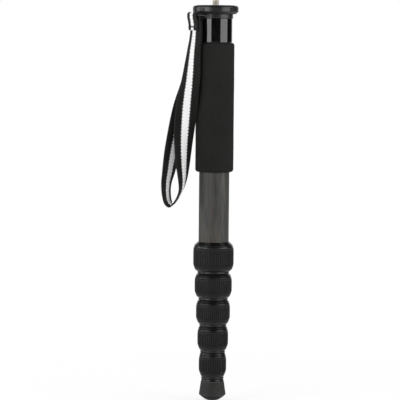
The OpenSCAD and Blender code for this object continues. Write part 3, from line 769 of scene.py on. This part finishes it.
# %% [markdown]
# ## Wrist strap
# The strap is one length of woven webbing, sewn into a loop round a wire bail. Its tail hangs
# outside the bar, goes over it and runs down as the front leg; the back leg comes up again
# behind. It twists on the way: along the bar at the top, edge-on at the bottom. The route is
# the CAD part's, with points moved by up to two millimetres to where the photograph has the
# edges. A smooth curve runs through them, and the flat section of the webbing with its soft
# selvedges is swept along it. It is modelled directly, because a simulation would lose the
# twist that the photograph shows. A route point is x, y, the drop from the bar and the turn.

# %% Strap route
STRAP_W, STRAP_T, STRAP_CLEAR = 20, 1.2, 0.3
BAIL_TURN, BAIL_TILT, BAIL_WIRE_R, BAIL_REACH = math.radians(23), math.radians(5), 0.9, 22.15
BAIL_SIDE, RING_R = 11.4, 16.2
STRAP_SLACK, FOLD_STEPS, STRAP_FINE, INNER_END = 0.5, 6, 8, 5
STRAP_TAIL = [(0.15, -14), (0.15, -10), (0.5, -6), (0.9, -3), (1, -1)]
STRAP_FRONT = [
    (1.7, 0.2, -14, 65), (1.3, 0.2, -24, 60), (0.3, 0.6, -33, 55), (-0.6, 0.1, -42, 49),
    (-2.5, -1.2, -61, 34), (-4.9, -1.7, -79, 15), (-7, -0.8, -98, -11), (-8.4, 0.2, -117, -31),
    (-8.8, 1, -135, -48), (-8.8, 1.6, -149, -64), (-9.9, 2, -161, -77), (-12.6, 2.3, -169, -82),
    (-16, 2.5, -175, -80), (-19.4, 2.7, -177.4, -76), (-22.4, 2.9, -174.4, -72),
]
STRAP_BACK = [
    (-23.8, 3.1, -168, -69), (-24.2, 3.3, -161, -66), (-23.6, 3.5, -153, -61), (-21.8, 3.6, -144, -54),
    (-18.6, 3.8, -126, -43), (-14, 3.7, -107, -28), (-9.3, 3.5, -89, -7), (-4.2, 3.4, -70, 24),
    (-0.6, 2.3, -53, 41), (0.4, 3.1, -39, 51), (2, 2.8, -24, 60), (2.3, 2.7, -14, 65),
]
BACK_SLIDE = (-0.8, 1.8)
bail_out = Vector((-math.cos(BAIL_TURN), -math.sin(BAIL_TURN), 0))
bail_root = math.sqrt(RING_R ** 2 - BAIL_SIDE ** 2)
bar_z = (low("strap_ring") + high("strap_ring")) / 2 + (BAIL_REACH - bail_root) * math.tan(BAIL_TILT)
bar_middle = bail_out * BAIL_REACH + Vector((0, 0, bar_z))
lane = BAIL_WIRE_R + STRAP_CLEAR + STRAP_T / 2
inner_lane = lane + STRAP_T + STRAP_CLEAR


def beside_bar(out, up):
    """A route point beside the bar: millimetres out from it and up from it."""
    return (bail_out.x * out, bail_out.y * out, up, 90 - math.degrees(BAIL_TURN))


fold = [beside_bar(lane * share, up) for share, up in STRAP_TAIL]
for k in range(FOLD_STEPS + 1):
    a = math.pi * k / FOLD_STEPS
    fold.append(beside_bar(lane * math.cos(a), STRAP_SLACK + lane * math.sin(a)))
fold += [beside_bar(-lane, -1), beside_bar(-lane, -INNER_END)]
last = np.array(beside_bar(-inner_lane, -INNER_END)) + np.array(BACK_SLIDE + (0, 0))
route = np.vstack([fold, STRAP_FRONT, STRAP_BACK, last])


def smooth_route(points, fine):
    """Catmull-Rom curve through the points, with extra points in each stretch."""
    padded = np.vstack([points[:1], points, points[-1:]])
    made = []
    for a, b, c, d in zip(padded, padded[1:], padded[2:], padded[3:]):
        for k in range(fine):
            t = k / fine
            made.append(b + t / 2 * (c - a + t * (2 * a - 5 * b + 4 * c - d + t * (3 * b - 3 * c + d - a))))
    return np.vstack([made, points[-1:]])


line = smooth_route(route, STRAP_FINE)
LOOP_TIP, TIP_START, TIP_GROW = 0.09, 150, 15
tip = LOOP_TIP * np.clip((-line[:, 2] - TIP_START) / TIP_GROW, 0, 1)
centre = line[:, :3] + np.array(bar_middle)
centre[:, 2] += tip * STRAP_W
step_lengths = np.linalg.norm(np.diff(centre, axis=0), axis=1)
run = np.concatenate([[0], np.cumsum(step_lengths)])
along = np.gradient(centre, axis=0)
along /= np.linalg.norm(along, axis=1)[:, None]
plan = np.stack([np.cos(np.radians(line[:, 3])), -np.sin(np.radians(line[:, 3])), tip], axis=1)
across = plan - (plan * along).sum(1)[:, None] * along
across /= np.linalg.norm(across, axis=1)[:, None]
outward = np.cross(along, across)
CUP_DROPS, CUP_DEPTHS = (6, 26, 110, 140, 160, 176), (0, 1.2, 1, 1, 1.2, 0.4)
bulge = np.interp(-line[:, 2], CUP_DROPS, CUP_DEPTHS)
cup = np.cross(across, (0, 0, 1)) * bulge[:, None]
print("strap length in mm:", round(run[-1], 1), "rings:", len(line))

# %% [markdown]
# ### Webbing
# The webbing is woven from black and white polyester yarn. Its pattern is laid out in
# millimetres across and along the strap, which the UV map holds. The yarns and the teeth of
# the stripe's edges are drawn coarser than they are, so that they show. White yarn lets light
# through, so the shader scatters some of it inside, and the loop's shaded side stays pale.

# %% Webbing finish
WHITE_HALF, WHITE_BLUR, WHITE_WANDER = 3.3, 0.15, 0.35
WARP_MM, WEFT_MM, SCATTER_MM = 1.0, 1.4, 2.5
TOOTH_MM, TOOTH_DEPTH = 3, 0.6
LOOP_MM, LOOP_FADE, RIM_FADE = 3, (0.2, 0.35), (0.9, 0.5)

webbing, tree, _ = begin("woven_polyester_webbing")
uv = add(tree, "ShaderNodeUVMap", uv_map="webbing")
split = add(tree, "ShaderNodeSeparateXYZ", {0: uv})
width, length = split.outputs[0], split.outputs[1]
wander = add(tree, NOISE, {"Vector": uv, "Scale": 0.35, "Detail": 3})
shift = add(tree, RANGE, {0: wander, 1: 0, 2: 1, 3: -WHITE_WANDER, 4: WHITE_WANDER})
edge = add(tree, MATH, {0: width, 1: shift}, operation="ADD")
from_middle = add(tree, MATH, {0: edge}, operation="ABSOLUTE")
tooth = add(tree, MATH, {0: length, 1: TOOTH_MM / 2}, operation="PINGPONG")
stepped = add(tree, RANGE, {0: tooth, 1: 0, 2: TOOTH_MM / 2, 3: -TOOTH_DEPTH, 4: TOOTH_DEPTH})
stepped = add(tree, MATH, {0: from_middle, 1: stepped}, operation="ADD")
stripe = {0: stepped, 1: WHITE_HALF - WHITE_BLUR, 2: WHITE_HALF + WHITE_BLUR, 3: 1, 4: 0}
white = add(tree, RANGE, stripe)
warp = add(tree, MATH, {0: width, 1: 2 * math.pi / WARP_MM}, operation="MULTIPLY")
warp = add(tree, MATH, {0: warp}, operation="COSINE")
weft = add(tree, MATH, {0: length, 1: 2 * math.pi / WEFT_MM}, operation="MULTIPLY")
weft = add(tree, MATH, {0: weft}, operation="COSINE")
crossing = add(tree, MATH, {0: warp, 1: weft}, operation="MULTIPLY")
ribs = add(tree, MIX, {0: 0.35, 2: warp, 3: crossing})
fuzz = add(tree, NOISE, {"Vector": uv, "Scale": 3, "Detail": 4})
height = add(tree, MIX, {0: 0.2, 2: ribs, 3: fuzz})
shade = add(tree, RANGE, {0: height, 1: -0.8, 2: 0.8, 3: 0, 4: 1})
dark = add(tree, MIX, {0: shade, 6: "#0b0b0a", 7: "#1a1a18"}, **TINT)
pale = add(tree, MIX, {0: shade, 6: "#f2f2f1", 7: "#fdfdfc"}, **TINT)
colour = add(tree, MIX, {0: white, 6: dark, 7: pale}, **TINT)
# Partly real, partly painted highlight: the weft loops along both selvedges are drawn as paler dashes, with
# the light they catch painted into their colour.
turns = add(tree, MATH, {0: length, 1: LOOP_MM / 2}, operation="PINGPONG")
turns = add(tree, RANGE, {0: turns, 1: LOOP_MM * LOOP_FADE[0], 2: LOOP_MM * LOOP_FADE[1], 3: 0, 4: 1})
selvedge_highlight_band = {0: from_middle, 1: STRAP_W / 2 - RIM_FADE[0], 2: STRAP_W / 2 - RIM_FADE[1], 3: 0, 4: 1}
loops = add(tree, MATH, {0: turns, 1: add(tree, RANGE, selvedge_highlight_band)}, operation="MULTIPLY")
colour = add(tree, MIX, {0: loops, 6: colour, 7: "#2b2b2a"}, **TINT)
bump = add(tree, BUMP, {"Height": height, "Strength": 0.45, "Distance": 0.2 * MM})
close(
    tree, Base_Color=colour, Roughness=0.8, Normal=bump, Specular_IOR_Level=0.2, Sheen_Weight=0.05,
    Sheen_Roughness=0.5, Subsurface_Weight=0.7, Subsurface_Radius=(1, 1, 1),
    Subsurface_Scale=SCATTER_MM * MM,
)
print("webbing stripe in mm:", 2 * WHITE_HALF)

# %% Strap mesh
SELVEDGE, SELVEDGE_IN, SELVEDGE_T = 0.5, 0.1, 0.2
FLAT_HALF, FLAT_POINTS, STRAP_SMOOTH = 8, 9, 50
half_w, edge_x, edge_y = STRAP_W / 2, SELVEDGE * SELVEDGE_IN, STRAP_T * SELVEDGE_T
section = [(-half_w + edge_x, -edge_y), (-half_w + SELVEDGE, -STRAP_T / 2)]
section += [(x, -STRAP_T / 2) for x in np.linspace(-FLAT_HALF, FLAT_HALF, FLAT_POINTS)]
section += [(half_w - SELVEDGE, -STRAP_T / 2), (half_w - edge_x, -edge_y)]
section = section + [(x, -y) for x, y in reversed(section)]


def sweep_strap():
    """Sweeps the webbing's section along the route, with the millimetres across and along as its UV map."""
    bm = bmesh.new()
    uv = bm.loops.layers.uv.new("webbing")
    rings = []
    for c, a, o, hollow in zip(centre, across, outward, cup):
        rings.append([
            bm.verts.new((c + a * x + o * y + hollow * (1 - (2 * x / STRAP_W) ** 2)) * MM) for x, y in section
        ])
    count = len(section)
    for r in range(len(rings) - 1):
        for k in range(count):
            n = (k + 1) % count
            around = (r, k), (r, n), (r + 1, n), (r + 1, k)
            face = bm.faces.new([rings[s][j] for s, j in around])
            for loop, (s, j) in zip(face.loops, around):
                loop[uv].uv = section[j][0], run[s]
    for ring, length in ((rings[0], run[0]), (rings[-1], run[-1])):
        face = bm.faces.new(ring)
        for loop, (x, _) in zip(face.loops, section):
            loop[uv].uv = (x, length)
    return bm


strap = finish_mesh("webbing_strap", sweep_strap(), webbing, smooth_to=STRAP_SMOOTH)
dress(strap, "strap", "webbing", "wrist_strap")

# %% [markdown]
# ### Sewn seam
# Below the bail the tail is sewn to the leg behind it with black thread, right across the
# webbing. The rows are so close that they read as one dark line. Each row of stitches follows
# a line on the tail's outer face, and Geometry Nodes set one stitch on each point of it.

# %% Stitch rows
STITCH_PITCH, STITCH_LENGTH, STITCH_R, PLY_MM = 1.7, 1.9, 0.36, 0.5
SEAM_DROPS = (10.5, 11.0)
SEAM_INSET, SEAM_POINTS = 0.5, 13


def seam_lines():
    """Edges across the tail's outer face, one line for each row of stitches."""
    reach = STRAP_W / 2 - SEAM_INSET
    bm = bmesh.new()
    for drop in SEAM_DROPS:
        ring = min(range(len(STRAP_TAIL) * STRAP_FINE), key=lambda r: abs(line[r, 2] + drop))
        out = outward[ring] * math.copysign(STRAP_T / 2, outward[ring] @ bail_out)
        row = []
        for x in np.linspace(-reach, reach, SEAM_POINTS):
            bulged = cup[ring] * (1 - (2 * x / STRAP_W) ** 2)
            row.append(bm.verts.new((centre[ring] + out + across[ring] * x + bulged) * MM))
        for pair in zip(row, row[1:]):
            bm.edges.new(pair)
    return finish_mesh("seam_lines", bm, sewing_thread)


sewing_thread, tree, place = begin("black_sewing_thread")
ply = add(tree, NOISE, {"Vector": place, "Scale": per_mm(PLY_MM), "Detail": 2})
bump = add(tree, BUMP, {"Height": ply, "Strength": 0.3, "Distance": 0.05 * MM})
colour = add(tree, MIX, {0: ply, 6: "#0d0d0e", 7: "#1d1d1f"}, **TINT)
close(tree, Base_Color=colour, Roughness=0.6, Normal=bump)

tree, given = node_group("stitches_on_lines", Pitch="Float", Size="Vector", Material="Material")
curves = add(tree, "GeometryNodeMeshToCurve", {0: given["Geometry"]})
points = add(tree, "GeometryNodeResampleCurve", {"Curve": curves, "Length": given["Pitch"]}, mode="LENGTH")
tangent = add(tree, "GeometryNodeInputTangent")
facing = add(tree, "FunctionNodeAlignEulerToVector", {"Vector": tangent}, axis="X")
bead = add(tree, "GeometryNodeMeshUVSphere", {"Segments": 8, "Rings": 6, "Radius": 1})
each = {"Points": points, "Instance": bead, "Rotation": facing, "Scale": given["Size"]}
copies = add(tree, "GeometryNodeInstanceOnPoints", each)
real = add(tree, "GeometryNodeRealizeInstances", {0: copies})
smooth = add(tree, "GeometryNodeSetShadeSmooth", {0: real})
hand_on(tree, given, smooth)

stitch = STITCH_LENGTH / 2 * MM, STITCH_R * MM, STITCH_R * MM
seam = bake(
    seam_lines(), "seam_stitches", tree, Pitch=STITCH_PITCH * MM, Size=stitch, Material=sewing_thread
)
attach(seam, "strap")
print("seam faces:", len(seam.data.polygons))

# %% [markdown]
# ## Studio
# Two tall softboxes stand to the left and right of the camera: the glossy neck shows them as
# two upright bands. Two weaker ones hang higher at the sides and give the collars their pale
# patches, and a narrow panel far to the left catches the plate's rim. A soft fill from the
# front lifts the cloth and the rubber, and is kept out of mirrored light so that the neck
# stays black between its bands. The white paper behind lights the pole's edges. The floor
# is pale and shows white to the camera, with the pole's soft shadow by the foot.

# %% Lights
LIGHT_TARGET = Vector((0, 0, 0.2))
# Name, azimuth to the camera's right, elevation, distance, width, height, radiance, mirrored
LAMPS = (
    ("left_softbox", -51, 8, 1.4, 1.1, 1.5, 2.5, True),
    ("right_softbox", 61, 8, 1.4, 1.4, 1.5, 2.0, True),
    ("upper_left_softbox", -85, 45, 1.5, 1.2, 1.2, 0.4, True),
    ("upper_right_softbox", 85, 45, 1.5, 1.2, 1.2, 0.4, True),
    ("left_panel", -98, 8, 1.4, 0.4, 1.2, 3.2, True),
    ("front_fill", 8, 12, 2, 1.0, 1.2, 2.2, False),
)

for name, azimuth, elevation, distance, width, height, radiance, mirrored in LAMPS:
    a, e = math.radians(azimuth), math.radians(elevation)
    lamp_data = bpy.data.lights.new(name, "AREA")
    lamp_data.shape = "RECTANGLE"
    lamp_data.size, lamp_data.size_y = width, height
    lamp_data.energy = radiance * math.pi * width * height
    lamp = bpy.data.objects.new(name, lamp_data)
    away = Vector((math.sin(a) * math.cos(e), -math.cos(a) * math.cos(e), math.sin(e)))
    lamp.location = LIGHT_TARGET + away * distance
    lamp.rotation_mode = "QUATERNION"
    lamp.rotation_quaternion = away.to_track_quat("Z", "Y")
    lamp.visible_camera = False
    lamp.visible_glossy = mirrored
    scene.collection.objects.link(lamp)
print("lamps:", [row[0] for row in LAMPS])

# %% World
FILL_FROM = (0.55, 0.8, 0.2)
WHITE = (1, 1, 1, 1)


def seen_directly(tree, rays):
    """1 for rays from the camera, also through something clear, and 0 for those that only light."""
    direct = {0: rays["Is Camera Ray"], 1: rays["Is Transmission Ray"]}
    return add(tree, MATH, direct, operation="MAXIMUM")


world = bpy.data.worlds.new("studio")
scene.world = world
world.use_nodes = True
tree = world.node_tree
tree.nodes.clear()
rays = add(tree, "ShaderNodeLightPath").outputs
direction = add(tree, "ShaderNodeTexCoord").outputs["Generated"]
behind = add(tree, "ShaderNodeSeparateXYZ", {0: direction})
paper = add(tree, RANGE, {0: behind.outputs[1], 1: 0.72, 2: 0.9, 3: 0.01, 4: 0.9})
side = add(tree, "ShaderNodeVectorMath", {0: direction, 1: FILL_FROM}, operation="DOT_PRODUCT")
fill = add(tree, RANGE, {0: side, 1: -0.2, 2: 0.9, 3: 0.22, 4: 1.1})
ambient = add(tree, MIX, {0: rays["Is Glossy Ray"], 2: fill, 3: paper})
level = add(tree, MIX, {0: seen_directly(tree, rays), 2: ambient, 3: 1.0})
backdrop = add(tree, "ShaderNodeBackground", {"Color": WHITE, "Strength": level})
add(tree, "ShaderNodeOutputWorld", {"Surface": backdrop})
print("world nodes:", len(tree.nodes))

# %% Floor
FLOOR_HALF, FIBRE_MM = 30, 4
SHADOW_NEAR, SHADOW_FAR, GLOW_NEAR = 0.04, 0.4, 0.75
floor_mesh = bpy.data.meshes.new("floor")
corners = [(x * FLOOR_HALF, y * FLOOR_HALF, 0) for x, y in ((-1, -1), (1, -1), (1, 1), (-1, 1))]
floor_mesh.from_pydata(corners, [], [(0, 1, 2, 3)])
floor = bpy.data.objects.new("floor", floor_mesh)
scene.collection.objects.link(floor)
floor_paper, tree, place = begin("white_floor_paper")
rays = add(tree, "ShaderNodeLightPath").outputs
fibre = add(tree, NOISE, {"Vector": place, "Scale": per_mm(FIBRE_MM), "Detail": 3})
paper_colour = add(tree, MIX, {0: fibre, 6: "#bdbdbd", 7: "#c4c4c4"}, **TINT)
matt = add(tree, "ShaderNodeBsdfDiffuse", {"Color": paper_colour})
bright = add(tree, "ShaderNodeBsdfDiffuse", {"Color": WHITE})
glow = add(tree, "ShaderNodeEmission", {"Color": WHITE, "Strength": 1})
away = add(tree, "ShaderNodeVectorMath", {0: place}, operation="LENGTH")
plain = add(tree, RANGE, {0: away, 1: SHADOW_NEAR, 2: SHADOW_FAR, 3: GLOW_NEAR, 4: 1})
lit = add(tree, "ShaderNodeMixShader", {0: plain, 1: bright, 2: glow})
shown = add(tree, "ShaderNodeMixShader", {0: seen_directly(tree, rays), 1: matt, 2: lit})
add(tree, "ShaderNodeOutputMaterial", {"Surface": shown})
floor_mesh.materials.append(floor_paper)
print("floor in m:", 2 * FLOOR_HALF)
